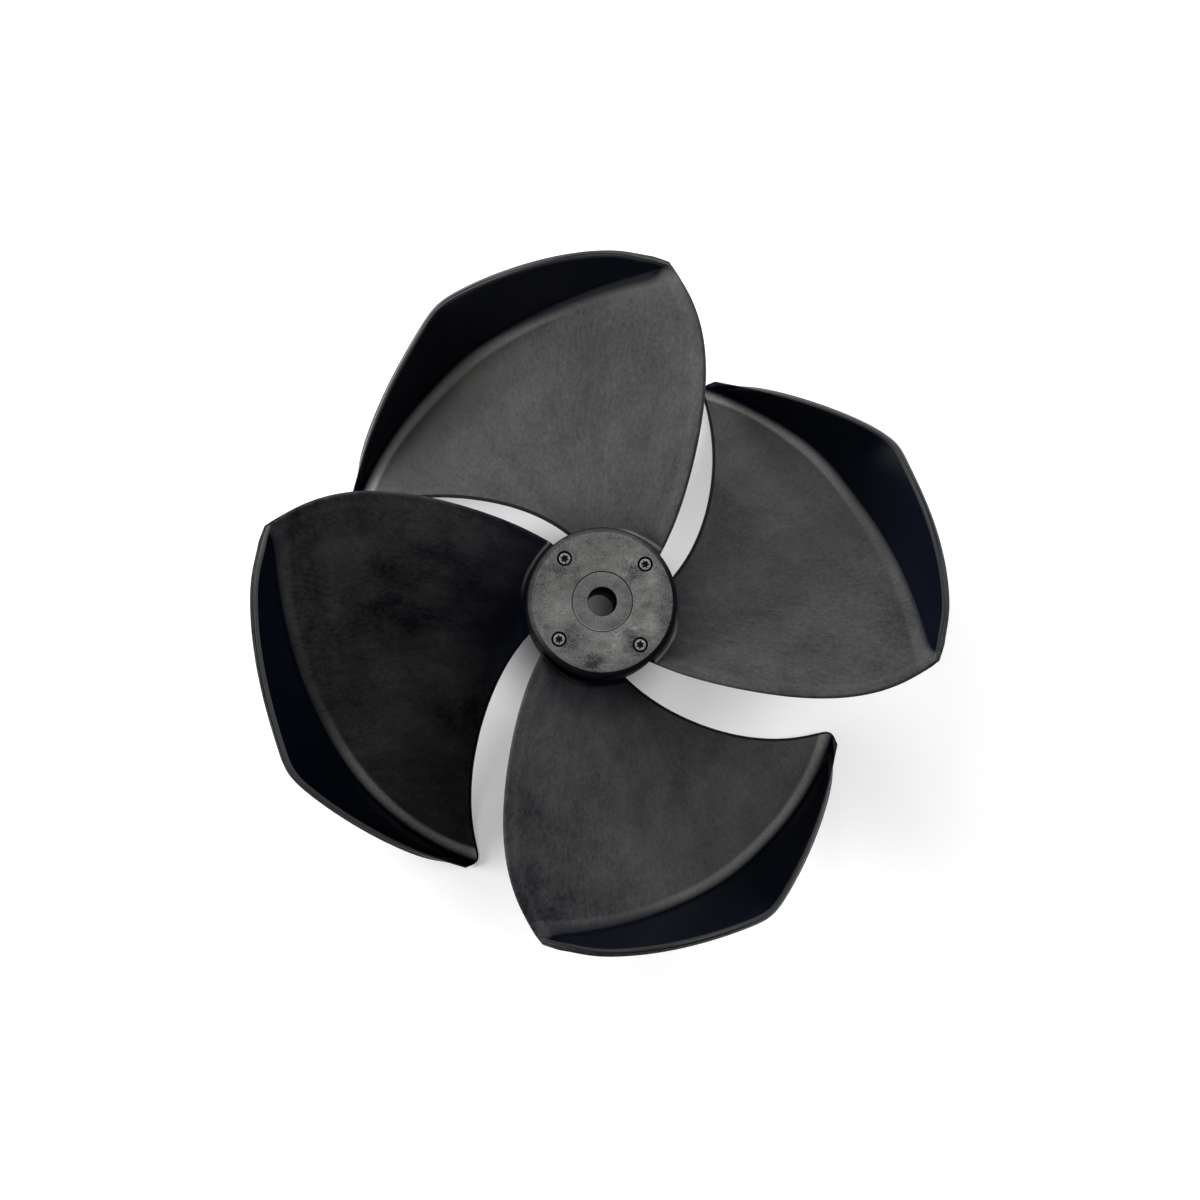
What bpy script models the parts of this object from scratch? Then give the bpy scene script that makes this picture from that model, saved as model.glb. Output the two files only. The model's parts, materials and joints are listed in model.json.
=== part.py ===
"""A four-bladed axial fan wheel: a moulded hub, four cambered blades whose tips turn up
into tall lips, and a flanged bush held in the hub by four screws.

The wheel's axis is Z. The hub's flat face looks up, and the origin is on the axis, level with
the lowest corners of the blades' leading edges, on which the wheel stands.
"""

import math

import bmesh
import bpy
import numpy as np
from mathutils import Matrix

MM = 0.001
PI = math.pi
WHEEL = "four_bladed_fan_wheel"

# Driving dimensions, in millimetres and degrees. Heights are above the wheel's lowest point.
BLADES = 4
FACE_HEIGHT = 91.31
GAP = 0.3

# Hub cup
HUB_RADIUS = 33.0
HUB_DRAFT = 0.8
HUB_DEPTH = 36.0
HUB_WALL = 4.0
HUB_RIM_ROUND = 2.8
FACE_THICKNESS = 5.5

# Bush, with its flange clamped against the back of the hub's face
BORE_RADIUS = 6.35
BORE_CHAMFER = 0.5
NOSE_RADIUS = 13.0
SLEEVE_LENGTH = 34.0
FLANGE_RADIUS = 28.0
FLANGE_THICKNESS = 5.0

# Screws, on a circle round the bush
SCREWS = 4
SCREW_CIRCLE = 25.0
SCREW_ANGLE = 41.0
SCREW_LENGTH = 8.0
SHANK_RADIUS = 1.5
HEAD_RADIUS = 2.75
HEAD_HEIGHT = 3.0
HEAD_SINK = 0.5
HEAD_ROUND = 0.4
COUNTERBORE_RADIUS = 3.2
SOCKET_RADIUS = 1.25
SOCKET_WAIST = 0.72
SOCKET_DEPTH = 1.5

# Blade edges. Each is a cubic curve over the radius, from EDGE_START out to its own end, and
# is given by four control values of its angle round the axis and of its height from the face.
EDGE_START = 30.0
LEADING_END = 137.5
LEADING_ANGLES = (107.1, 136.5, 141.1, 157.7)
LEADING_DROPS = (-27.0, -35.0, -93.0, -88.5)
TRAILING_END = 142.0
TRAILING_ANGLES = (39.0, 63.6, 61.7, 79.9)
TRAILING_DROPS = (-5.5, 15.5, 43.5, 33.0)

# How far the blade sags below the straight line between its edges, as a share of its width,
# and how far the deepest place is moved towards the leading edge
CAMBER = 0.15
CAMBER_SKEW = 0.5

# Blade thickness: more towards the hub, less in a band along the leading and trailing edges
BLADE_THICKNESS = 3.0
ROOT_EXTRA = 2.5
ROOT_BLEND = 25.0
EDGE_THICKNESS = 2.0
EDGE_BAND = 8.0
EDGE_ROUND = 0.8

# Where the tip folds up into its lip. The fold runs in towards the leading corner, and its bend
# starts this far before it.
FOLD_RADIUS = 137.7
FOLD_START_DIP = 6.2
FOLD_BEND = 5.0

# Upper rim of the lip: two cubic spans, from the leading corner to the peak of its lean and on
# to the trailing corner, given by four control values each of radius and of height
RIM_START_ANGLE = 152.8
RIM_PEAK_ANGLE = 118.6
RIM_END_ANGLE = 78.9
RIM_LOW_RADII = (137.5, 141.0, 145.5, 153.1)
RIM_LOW_DROPS = (-88.5, -73.0, -37.5, -11.0)
RIM_HIGH_RADII = (153.1, 142.5, 142.3, 140.3)
RIM_HIGH_DROPS = (-11.0, 19.0, 37.0, 33.5)

# Fineness of the shapes. With this many steps across, one of them meets the rim at its peak.
CHORD_STEPS = 17
SPAN_STEPS = 10
BEND_STEPS = 3
LIP_STEPS = 3
HUB_STEPS = 48
SCREW_STEPS = 20
HOLE_STEPS = 24
SHARP_DEGREES = 35


def cubic(controls, t):
    """Value at t, from 0 to 1, of the cubic curve with these four control values."""
    a, b, c, d = controls
    s = 1 - t
    return s ** 3 * a + 3 * s ** 2 * t * b + 3 * s * t ** 2 * c + t ** 3 * d


def polar(radius, degrees, height):
    angle = math.radians(degrees)
    return np.array([radius * math.cos(angle), radius * math.sin(angle), height])


def collection(name):
    made = bpy.data.collections.new(name)
    bpy.context.scene.collection.children.link(made)
    return made


def material(name, colour, roughness, metallic):
    made = bpy.data.materials.new(name)
    made.use_nodes = True
    shader = made.node_tree.nodes["Principled BSDF"]
    shader.inputs["Base Color"].default_value = (*colour, 1)
    shader.inputs["Roughness"].default_value = roughness
    shader.inputs["Metallic"].default_value = metallic
    return made


def add_object(name, mesh, finish, home):
    made = bpy.data.objects.new(name, mesh)
    made.data.materials.append(finish)
    home.objects.link(made)
    return made


def settle(obj):
    """Makes the modifiers' result the object's own mesh, smooth except at its sharp edges."""
    graph = bpy.context.evaluated_depsgraph_get()
    mesh = bpy.data.meshes.new_from_object(obj.evaluated_get(graph))
    mesh.name = obj.name
    obj.modifiers.clear()
    obj.data = mesh
    mesh.shade_smooth()
    mesh.set_sharp_from_angle(angle=math.radians(SHARP_DEGREES))


def turned(name, profile, finish, home, steps, place=(0, 0)):
    """A solid of revolution. The profile's (radius, height) points run down its outer side."""
    points = [(radius * MM, 0, height * MM) for radius, height in profile]
    edges = [(i, i + 1) for i in range(len(points) - 1)]
    if profile[0][0] > 0:
        edges.append((len(points) - 1, 0))
    mesh = bpy.data.meshes.new(name)
    mesh.from_pydata(points, edges, [])
    made = add_object(name, mesh, finish, home)
    made.location = (place[0] * MM, place[1] * MM, 0)
    turn = made.modifiers.new("Turn", "SCREW")
    turn.axis = "Z"
    turn.steps = steps
    turn.render_steps = steps
    turn.use_merge_vertices = True
    turn.merge_threshold = 0.00001
    return made


def hidden(name, shape, cutters):
    """An object that only cuts, made from the bmesh, which it frees."""
    mesh = bpy.data.meshes.new(name)
    shape.to_mesh(mesh)
    shape.free()
    made = bpy.data.objects.new(name, mesh)
    made.hide_render = True
    made.display_type = "WIRE"
    cutters.objects.link(made)
    return made


def cylinder(radius, low, high, place, steps):
    shape = bmesh.new()
    middle = Matrix.Translation((place[0] * MM, place[1] * MM, (low + high) / 2 * MM))
    bmesh.ops.create_cone(
        shape,
        cap_ends=True,
        segments=steps,
        radius1=radius * MM,
        radius2=radius * MM,
        depth=(high - low) * MM,
        matrix=middle,
    )
    return shape


def cut(obj, tool):
    boolean = obj.modifiers.new("Cut " + tool.name, "BOOLEAN")
    boolean.operation = "DIFFERENCE"
    boolean.solver = "EXACT"
    boolean.object = tool


def quarter_round(radius, height, size, count):
    """Points round a turned outer corner, from its flat top to its side."""
    points = []
    for i in range(count + 1):
        turn = PI / 2 * i / count
        across = radius - size + size * math.sin(turn)
        points.append((across, height - size + size * math.cos(turn)))
    return points


def screw_places():
    turns = [SCREW_ANGLE + 360 * i / SCREWS for i in range(SCREWS)]
    return [tuple(polar(SCREW_CIRCLE, turn, 0)[:2]) for turn in turns]


def make_hub(finish, home, cutters):
    """The cup: face, rounded rim, drafted wall open at the back, and the four screw holes."""
    back = FACE_HEIGHT - HUB_DEPTH
    inside = FACE_HEIGHT - FACE_THICKNESS
    eye = NOSE_RADIUS + GAP
    profile = [(eye, FACE_HEIGHT)]
    profile += quarter_round(HUB_RADIUS, FACE_HEIGHT, HUB_RIM_ROUND, 4)
    profile += [(HUB_RADIUS + HUB_DRAFT, back)]
    profile += [(HUB_RADIUS + HUB_DRAFT - HUB_WALL, back)]
    profile += [(HUB_RADIUS - HUB_WALL, inside), (eye, inside)]
    hub = turned("hub", profile, finish, home, HUB_STEPS)
    seat = FACE_HEIGHT - HEAD_SINK - HEAD_HEIGHT - GAP
    for number, place in enumerate(screw_places(), 1):
        hole = cylinder(SHANK_RADIUS + GAP, inside - 1, FACE_HEIGHT + 1, place, HOLE_STEPS)
        cut(hub, hidden(f"screw_hole_{number}", hole, cutters))
        sink = cylinder(COUNTERBORE_RADIUS, seat, FACE_HEIGHT + 1, place, HOLE_STEPS)
        cut(hub, hidden(f"counterbore_{number}", sink, cutters))
    settle(hub)


def make_bush(finish, home, cutters):
    """The bored sleeve, its nose flush in the face, with the flange that the screws pull on."""
    end = FACE_HEIGHT - SLEEVE_LENGTH
    flange_top = FACE_HEIGHT - FACE_THICKNESS - GAP
    flange_back = flange_top - FLANGE_THICKNESS
    profile = [
        (BORE_RADIUS + BORE_CHAMFER, FACE_HEIGHT),
        (NOSE_RADIUS, FACE_HEIGHT),
        (NOSE_RADIUS, flange_top),
        (FLANGE_RADIUS, flange_top),
        (FLANGE_RADIUS, flange_back),
        (NOSE_RADIUS, flange_back),
        (NOSE_RADIUS, end),
        (BORE_RADIUS + BORE_CHAMFER, end),
        (BORE_RADIUS, end + BORE_CHAMFER),
        (BORE_RADIUS, FACE_HEIGHT - BORE_CHAMFER),
    ]
    bush = turned("bush", profile, finish, home, HUB_STEPS)
    for number, place in enumerate(screw_places(), 1):
        hole = cylinder(SHANK_RADIUS + GAP, flange_back - 1, flange_top + 1, place, HOLE_STEPS)
        cut(bush, hidden(f"flange_hole_{number}", hole, cutters))
    settle(bush)


def socket_shape(place, top):
    """A prism of six lobes: every second corner of a twelve-sided prism is drawn in."""
    shape = cylinder(SOCKET_RADIUS, top - SOCKET_DEPTH, top + SOCKET_DEPTH, place, 12)
    centre = np.array(place) * MM
    for point in shape.verts:
        outward = np.array(point.co.xy) - centre
        corner = round(math.degrees(math.atan2(outward[1], outward[0])) / 30)
        if corner % 2:
            point.co.xy = centre + outward * SOCKET_WAIST
    return shape


def make_screw(number, place, finish, home, cutters):
    """A cap screw, its head in the counterbore and its six-lobed socket sunk in the head."""
    top = FACE_HEIGHT - HEAD_SINK
    base = top - HEAD_HEIGHT
    tip = base - SCREW_LENGTH
    profile = [(0, top)]
    profile += quarter_round(HEAD_RADIUS, top, HEAD_ROUND, 2)
    profile += [(HEAD_RADIUS, base), (SHANK_RADIUS, base), (SHANK_RADIUS, tip), (0, tip)]
    screw = turned(f"screw_{number}", profile, finish, home, SCREW_STEPS, place)
    cut(screw, hidden(f"socket_{number}", socket_shape(place, top), cutters))
    settle(screw)


def chord_shares():
    """Shares of the way from leading to trailing edge, closer together at both edges."""
    shares = []
    for i in range(CHORD_STEPS + 1):
        even = i / CHORD_STEPS
        bunched = (1 - math.cos(PI * even)) / 2
        shares.append((even + bunched) / 2)
    return shares


def fold_radius(share):
    return FOLD_RADIUS - FOLD_START_DIP * (1 - share) ** 6


def section(radius):
    """Angle and height of the leading edge and of the trailing edge, and the width between."""
    lead = (radius - EDGE_START) / (LEADING_END - EDGE_START)
    trail = (radius - EDGE_START) / (TRAILING_END - EDGE_START)
    angles = cubic(LEADING_ANGLES, lead), cubic(TRAILING_ANGLES, trail)
    drops = cubic(LEADING_DROPS, lead), cubic(TRAILING_DROPS, trail)
    width = radius * math.radians(angles[0] - angles[1])
    return angles, drops, width


def blade_point(share, radius):
    """A point of the blade's upper surface, before the fold."""
    angles, drops, width = section(radius)
    sag = CAMBER * width * 4 * share * (1 - share) * (1 + CAMBER_SKEW * (0.5 - share))
    angle = angles[0] + (angles[1] - angles[0]) * share
    drop = drops[0] + (drops[1] - drops[0]) * share - sag
    return polar(radius, angle, FACE_HEIGHT + drop)


def rim_point(share):
    """A point of the inner edge of the lip's rim."""
    angle = RIM_START_ANGLE + (RIM_END_ANGLE - RIM_START_ANGLE) * share
    if angle > RIM_PEAK_ANGLE:
        t = (RIM_START_ANGLE - angle) / (RIM_START_ANGLE - RIM_PEAK_ANGLE)
        radius, drop = cubic(RIM_LOW_RADII, t), cubic(RIM_LOW_DROPS, t)
    else:
        t = (RIM_PEAK_ANGLE - angle) / (RIM_PEAK_ANGLE - RIM_END_ANGLE)
        radius, drop = cubic(RIM_HIGH_RADII, t), cubic(RIM_HIGH_DROPS, t)
    return polar(radius, angle, FACE_HEIGHT + drop)


def blade_line(share):
    """Points of the upper surface from inside the hub, over the fold, to the lip's rim."""
    corner = blade_point(share, fold_radius(share))
    rim = rim_point(share)
    lip = np.linalg.norm(rim - corner)
    bend = min(FOLD_BEND, lip / 2)
    bend_start = fold_radius(share) - bend
    bend_end = corner + (rim - corner) * bend / lip
    line = []
    for i in range(SPAN_STEPS + 1):
        radius = EDGE_START + (bend_start - EDGE_START) * i / SPAN_STEPS
        line.append(blade_point(share, radius))
    flat_end = line[-1]
    for i in range(1, BEND_STEPS + 1):
        t = i / BEND_STEPS
        line.append((1 - t) ** 2 * flat_end + 2 * t * (1 - t) * corner + t ** 2 * bend_end)
    for i in range(1, LIP_STEPS + 1):
        line.append(bend_end + (rim - bend_end) * i / LIP_STEPS)
    return line


def blade_thickness(share, point):
    radius = math.hypot(point[0], point[1])
    width = section(min(radius, FOLD_RADIUS))[2]
    inward = max(0, 1 - (radius - HUB_RADIUS) / ROOT_BLEND)
    body = BLADE_THICKNESS + ROOT_EXTRA * min(1, inward) ** 2
    from_edge = min(share, 1 - share) * width / EDGE_BAND
    return EDGE_THICKNESS + (body - EDGE_THICKNESS) * min(1, from_edge)


def make_blade(number, finish, home, seat):
    """One blade: a grid moved to the upper surface, given its thickness downwards, with its
    edges rounded and its root cut to the hub's wall."""
    name = f"blade_{number}"
    rows = SPAN_STEPS + BEND_STEPS + LIP_STEPS
    shares = chord_shares()
    lines = [blade_line(share) for share in shares]
    shape = bmesh.new()
    bmesh.ops.create_grid(shape, x_segments=CHORD_STEPS, y_segments=rows, size=0.5)
    thickest = BLADE_THICKNESS + ROOT_EXTRA
    parts_of_thickest = []
    for vertex in shape.verts:
        column = round((vertex.co.x + 0.5) * CHORD_STEPS)
        row = round((vertex.co.y + 0.5) * rows)
        point = lines[column][row]
        vertex.co = point * MM
        parts_of_thickest.append(blade_thickness(shares[column], point) / thickest)
    turn = Matrix.Rotation(2 * PI * (number - 1) / BLADES, 4, "Z")
    bmesh.ops.transform(shape, matrix=turn, verts=shape.verts)
    mesh = bpy.data.meshes.new(name)
    shape.to_mesh(mesh)
    shape.free()
    blade = add_object(name, mesh, finish, home)
    group = blade.vertex_groups.new(name="thickness")
    for index, weight in enumerate(parts_of_thickest):
        group.add([index], weight, "REPLACE")
    solidify = blade.modifiers.new("Thickness", "SOLIDIFY")
    solidify.thickness = thickest * MM
    solidify.offset = -1
    solidify.use_even_offset = True
    solidify.vertex_group = group.name
    rounding = blade.modifiers.new("Round edges", "BEVEL")
    rounding.width = EDGE_ROUND * MM
    rounding.segments = 2
    rounding.limit_method = "ANGLE"
    rounding.angle_limit = math.radians(60)
    cut(blade, seat)
    settle(blade)


def main():
    for obj in list(bpy.data.objects):
        bpy.data.objects.remove(obj, do_unlink=True)
    home = collection(WHEEL)
    cutters = collection("cutters")
    plastic = material("moulded_plastic", (0.035, 0.036, 0.040), 0.55, 0.0)
    metal = material("bush_metal", (0.12, 0.12, 0.125), 0.45, 0.6)
    steel = material("screw_steel", (0.10, 0.10, 0.105), 0.35, 0.9)
    make_hub(plastic, home, cutters)
    make_bush(metal, home, cutters)
    for number, place in enumerate(screw_places(), 1):
        make_screw(number, place, steel, home, cutters)
    wall = cylinder(HUB_RADIUS + HUB_DRAFT + GAP, 0, 2 * FACE_HEIGHT, (0, 0), HUB_STEPS)
    seat = hidden("blade_seat", wall, cutters)
    for number in range(1, BLADES + 1):
        make_blade(number, plastic, home, seat)


main()
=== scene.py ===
# %% [markdown]
# # A four-bladed fan wheel
#
# The wheel is a plastic moulding: a round hub with a plain flat face, and four wide blades whose
# tips turn up into tall lips. A bored bush sits in the hub, and four small screws hold it there.
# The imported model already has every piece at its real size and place. This lesson gives the
# wheel its fine surface: rounded edges, fillets, streaked satin plastic, and soft light.

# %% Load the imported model
import json
import math

import bmesh
import bpy
import numpy as np
from mathutils import Matrix, Vector


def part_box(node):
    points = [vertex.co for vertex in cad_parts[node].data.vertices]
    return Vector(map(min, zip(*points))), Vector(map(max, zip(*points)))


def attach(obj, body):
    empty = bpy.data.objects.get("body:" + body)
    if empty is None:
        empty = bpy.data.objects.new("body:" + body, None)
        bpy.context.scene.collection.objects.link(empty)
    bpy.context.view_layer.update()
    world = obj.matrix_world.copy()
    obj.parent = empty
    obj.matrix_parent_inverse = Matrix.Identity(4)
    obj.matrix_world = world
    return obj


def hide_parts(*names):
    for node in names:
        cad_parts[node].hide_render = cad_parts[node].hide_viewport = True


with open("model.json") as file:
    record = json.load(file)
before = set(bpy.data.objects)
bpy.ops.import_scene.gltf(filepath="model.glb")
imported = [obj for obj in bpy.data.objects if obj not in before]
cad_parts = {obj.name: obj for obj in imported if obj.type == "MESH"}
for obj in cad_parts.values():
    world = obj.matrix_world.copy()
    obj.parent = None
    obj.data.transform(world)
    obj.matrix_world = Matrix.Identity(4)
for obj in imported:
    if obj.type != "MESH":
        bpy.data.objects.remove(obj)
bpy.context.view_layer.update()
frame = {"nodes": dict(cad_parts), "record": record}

print("pieces in the model:", ", ".join(sorted(frame["nodes"])))

# %% [markdown]
# ## Sizes
#
# All shapes below are worked out in millimetres, and MM turns them into Blender's metres.
# Heights are counted from the hub's face, because the blades, the bush and the screws are all
# set from it. The face's own height above the floor is read from the model, so the new pieces
# land where the old ones are.

# %% Read the main sizes from the model
MM = 0.001
BLADES = 4

mounts = {mount["name"]: mount for mount in frame["record"]["mounts"]}
FACE = mounts["hub_face"]["pos_m"][2] / MM
HUB_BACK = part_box("hub")[0].z / MM - FACE
SLEEVE_END = mounts["bush_back"]["pos_m"][2] / MM - FACE
print(f"face {FACE:.2f} mm up, hub {-HUB_BACK:.1f} mm deep, sleeve {-SLEEVE_END:.1f} mm long")

# %% [markdown]
# ## The camera
#
# The wheel is seen almost along its axis, from a little to the left of it and a little below,
# so that a crescent of the hub's side shows under its face. A camera that starts by looking
# straight down is tilted by two small angles and moved back along its own axis. Its lens is a
# short telephoto.

# %% Place the camera
TILT_UP = math.radians(5.7585)
TILT_LEFT = math.radians(-2.9209)
CAMERA_DISTANCE = 571.2
CAMERA_SHIFT = (-1.04, 0.65)
FOCAL_LENGTH = 39.39
SENSOR_WIDTH = 36


def placed(name, data):
    """A new object in the scene, for this camera, mesh or light."""
    made = bpy.data.objects.new(name, data)
    bpy.context.scene.collection.objects.link(made)
    return made


turn = Matrix.Rotation(TILT_UP, 4, "X") @ Matrix.Rotation(TILT_LEFT, 4, "Y")
back = turn @ Vector((*CAMERA_SHIFT, CAMERA_DISTANCE))
camera = placed("camera", bpy.data.cameras.new("camera"))
camera.data.sensor_width = SENSOR_WIDTH
camera.data.lens = FOCAL_LENGTH
camera.matrix_world = Matrix.Translation((Vector((0, 0, FACE)) + back) * MM) @ turn
bpy.context.scene.camera = camera
print("camera at", [round(value, 3) for value in camera.matrix_world.translation], "m")

# %% [markdown]
# ## Helpers for shader nodes
#
# A procedural material is a chain of nodes. Making each node takes a line for the node, one for
# each setting and one for each link, so one small helper does all three, and others name the
# steps that repeat. A value that is a socket is linked, and any other value is set on the socket.

# %% Node helpers
NOISE_LOW = 0.3
NOISE_HIGH = 0.7


def feed(tree, node, inputs):
    """Sets or links a node's inputs, which are named or numbered."""
    for key, value in inputs.items():
        if isinstance(value, bpy.types.NodeSocket):
            tree.links.new(value, node.inputs[key])
        else:
            node.inputs[key].default_value = value


def add(tree, kind, inputs=None, **settings):
    """Adds a shader node with these settings and inputs."""
    made = tree.nodes.new("ShaderNode" + kind)
    for name, value in settings.items():
        setattr(made, name, value)
    feed(tree, made, inputs or {})
    return made


def spread(tree, value, low, high):
    """Stretches a noise's useful middle range to run from low to high."""
    inputs = {0: value, 1: NOISE_LOW, 2: NOISE_HIGH, 3: low, 4: high}
    return add(tree, "MapRange", inputs).outputs[0]


def stretched_noise(tree, vector, scales, detail, roughness=0.5):
    """Noise whose marks are as long, as wide and as deep as the scales, in the vector's unit."""
    shrunk = add(tree, "VectorMath", {0: vector, 1: [1 / s for s in scales]}, operation="MULTIPLY")
    inputs = {"Vector": shrunk.outputs[0], "Scale": 1, "Detail": detail, "Roughness": roughness}
    return add(tree, "TexNoise", inputs).outputs["Fac"]


def mark(tree, vector, scales, strength, detail=3, roughness=0.5):
    """A stretched noise that runs from minus its strength to plus its strength."""
    noise = stretched_noise(tree, vector, scales, detail, roughness)
    return spread(tree, noise, -strength, strength)


def maths(tree, operation, *values):
    """The result of a Math node, such as ADD or MULTIPLY_ADD, on sockets or numbers."""
    return add(tree, "Math", dict(enumerate(values)), operation=operation).outputs[0]


def times(tree, first, second):
    """The product of two sockets or numbers."""
    return maths(tree, "MULTIPLY", first, second)


def total(tree, values):
    """The sum of these sockets."""
    sum_so_far = values[0]
    for value in values[1:]:
        sum_so_far = maths(tree, "ADD", sum_so_far, value)
    return sum_so_far


def fade(tree, value, start, end, low=0.0, high=1.0):
    """Goes smoothly from low, where the value is start, to high, where it is end."""
    inputs = {0: value, 1: start, 2: end, 3: low, 4: high}
    return add(tree, "MapRange", inputs, interpolation_type="SMOOTHSTEP").outputs[0]


def band(tree, value, middle, reach):
    """One in the middle of a band, and nothing at its reach to either side."""
    rising = fade(tree, value, middle - reach, middle)
    falling = fade(tree, value, middle + reach, middle)
    return times(tree, rising, falling)


def between(tree, share, first, second, stop=True):
    """A colour that goes from the first to the second as the share goes from 0 to 1. Past 1 it
    stops there, or else goes on the same way."""
    inputs = {0: share, 6: first, 7: second}
    return add(tree, "Mix", inputs, data_type="RGBA", clamp_factor=stop).outputs[2]


def in_millimetres(tree):
    """The place of a point in the object's own coordinates, in millimetres."""
    place = add(tree, "TexCoord").outputs["Object"]
    return add(tree, "VectorMath", {0: place, 1: [1 / MM] * 3}, operation="MULTIPLY").outputs[0]


def split(tree, vector):
    """The three numbers of a vector."""
    return add(tree, "SeparateXYZ", {0: vector}).outputs


def over_face(tree, place):
    """How far a point is above the hub's face."""
    return maths(tree, "SUBTRACT", split(tree, place)[2], FACE)


def out_of_axis(tree, place):
    """The arrow from the wheel's axis straight out to a point."""
    return add(tree, "VectorMath", {0: place, 1: (1, 1, 0)}, operation="MULTIPLY").outputs[0]


def spot(tree, place, centre, reach, ragged):
    """One at the centre, nothing beyond its reach, with an edge that the noise makes ragged."""
    away = add(tree, "VectorMath", {0: place, 1: centre}, operation="DISTANCE").outputs["Value"]
    return fade(tree, maths(tree, "ADD", away, ragged), reach, 0.0)


def new_material(name):
    made = bpy.data.materials.new(name)
    made.use_nodes = True
    return made, made.node_tree, made.node_tree.nodes["Principled BSDF"]


print("helpers ready")

# %% [markdown]
# ## The blades' plastic
#
# Hot plastic runs from the hub out to the tips while the wheel is moulded, and it leaves faint
# streaks along its way, with broad cloudy patches across them. The blades' faces are a little
# chalky. Painted light makes them paler towards the leading edge and the tip, and painted shade
# makes them a darker navy near the hub, with a painted shadow at the foot of the hub's wall. The
# insides of the lips and the leading edges are painted a deeper, bluish black, as painted shade,
# and the lips are smoother. A painted highlight runs along the fold, another along the lip's rim
# and a third along the fillet at the trailing root. Image textures would be one way to draw
# this. Noise is better here, because it has any fineness and no seams.
#
# Each blade's mesh carries three attributes. The first, flow, says how far out a point is and
# how far round, so noise read from it is stretched along the blade. The second, zone, says how
# far past the fold the point is, and how far in from the trailing and the leading edge. The
# third, to_rim, says how far the lip's rim still is. All the marks are sums in one number, the
# tone, which then picks a grey. The four blades face the lights in different ways, so each has
# a material of its own, with its own amount of cloud and its own amounts of painted light,
# painted shade and painted highlight. The left blade's whole tone is painted darker, as painted
# shade.

# %% Colours of the blades, and amounts for each blade
FACE_DARK = (0.0035, 0.0038, 0.0075, 1)
FACE_LIGHT = (0.075, 0.0745, 0.073, 1)
# ROOT_SHADE_COLOUR is the navy of the painted shade near the hub.
ROOT_SHADE_COLOUR = (0.0030, 0.0042, 0.0130, 1)
# PAINTED_HIGHLIGHT is the grey of the painted highlights on the fold, the lip's rim and the root's
# fillet.
PAINTED_HIGHLIGHT = (0.30, 0.30, 0.29, 1)
# LIP_BLACK is painted shade inside the lips and along the leading edges, and painted shadow at the
# root's foot.
LIP_BLACK = (0.0004, 0.0013, 0.0050, 1)
# The second blade's lower middle tone is painted shade.
MIDDLE_TONE = (0.49, 0.25, 0.52, 0.50)
CLOUDINESS = (0.10, 0.36, 0.14, 0.10)
CLOUD_SIZE = (1.0, 1.6, 1.0, 1.0)
TRAILING_LIGHT_AND_SHADE = (0.16, 0.0, -0.12, -0.12)
FOLD_LIGHT_AND_SHADE = (0.75, -0.10, 0.17, 0.17)
FOLD_HIGHLIGHT_STRENGTH = (1.15, 1.5, 0.58, 0.66)
FOLD_HIGHLIGHT_SPAN = ((0.2, 0.7), (0.35, 0.95), (0.2, 0.7), (0.3, 0.75))
LIP_SHIFT = ((-1.0, 0.9), (0.2, 0.5), (-0.8, 0.3), (1.4, 0.9))
LEADING_SHIFT = (-1.0, -1.0, 0.0, -2.0)
TIP_LIGHT_AND_SHADE = (0.05, 0.08, -0.24, -0.06)
ROOT_SHADE = (0.25, 0.85, 0.55, 0.30)
ROOT_REACH = (60, 100, 66, 60)
ROOT_FOOT_SHADOW = (0.0, 0.6, 0.95, 0.4)
ROOT_FILLET_HIGHLIGHT = (0.5, 0.5, 0.1, 0.5)
LIP_RIM_HIGHLIGHT = (0.06, 0.23, 0.09, 0.07)

print("amounts of chalk, wear and shade for", len(LIP_RIM_HIGHLIGHT), "blades")

# %% [markdown]
# A place on a blade is given in millimetres, out along it, past the fold or in from an edge, or as
# a share of the width, which runs from 0 at the trailing edge to 1 at the leading edge. A pair
# says where a mark starts and where it has its full strength, or a band's middle and reach.

# %% Marks on a blade's face, and painted light and shade on it
STREAK = (7.0, 0.8, 1.0)
HAIR = (2.6, 0.4, 1.0)
FAN = (60.0, 8.0, 1.0)
CLOUD = (16.0, 9.0, 1.0)
MOTTLE = (2.0, 2.0, 2.0)
STREAK_TONE = 0.07
HAIR_TONE = 0.08
FAN_TONE = 0.08
MOTTLE_TONE = 0.14
FORWARD_PAINTED_LIGHT = 0.14
FORWARD_SPAN = (0.15, 0.65)
TIP_PAINTED_LIGHT = 0.15
TIP_SPAN = (0.2, 0.5)
TIP_REACH = (100, 122)
FOLD_SPAN = (0.3, 0.6)
FOLD_REACH = (-26, -6)
LEADING_SPAN = (0.7, 0.95)
LEFT_AT_LEADING = 0.4
TRAILING_SPAN = (0.35, 0.15)


def blade_marks(tree, flow, place, number):
    """The noises that are spread over a blade's whole face, as small changes of its tone."""
    cloud_scales = [CLOUD_SIZE[number - 1] * side for side in CLOUD]
    streak = mark(tree, flow, STREAK, STREAK_TONE)
    hair = mark(tree, flow, HAIR, HAIR_TONE, 2)
    fan = mark(tree, flow, FAN, FAN_TONE)
    cloud = mark(tree, flow, cloud_scales, CLOUDINESS[number - 1], 4, 0.6)
    mottle = mark(tree, place, MOTTLE, MOTTLE_TONE, 4, 0.75)
    return total(tree, [streak, hair, fan, cloud, mottle])


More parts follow.
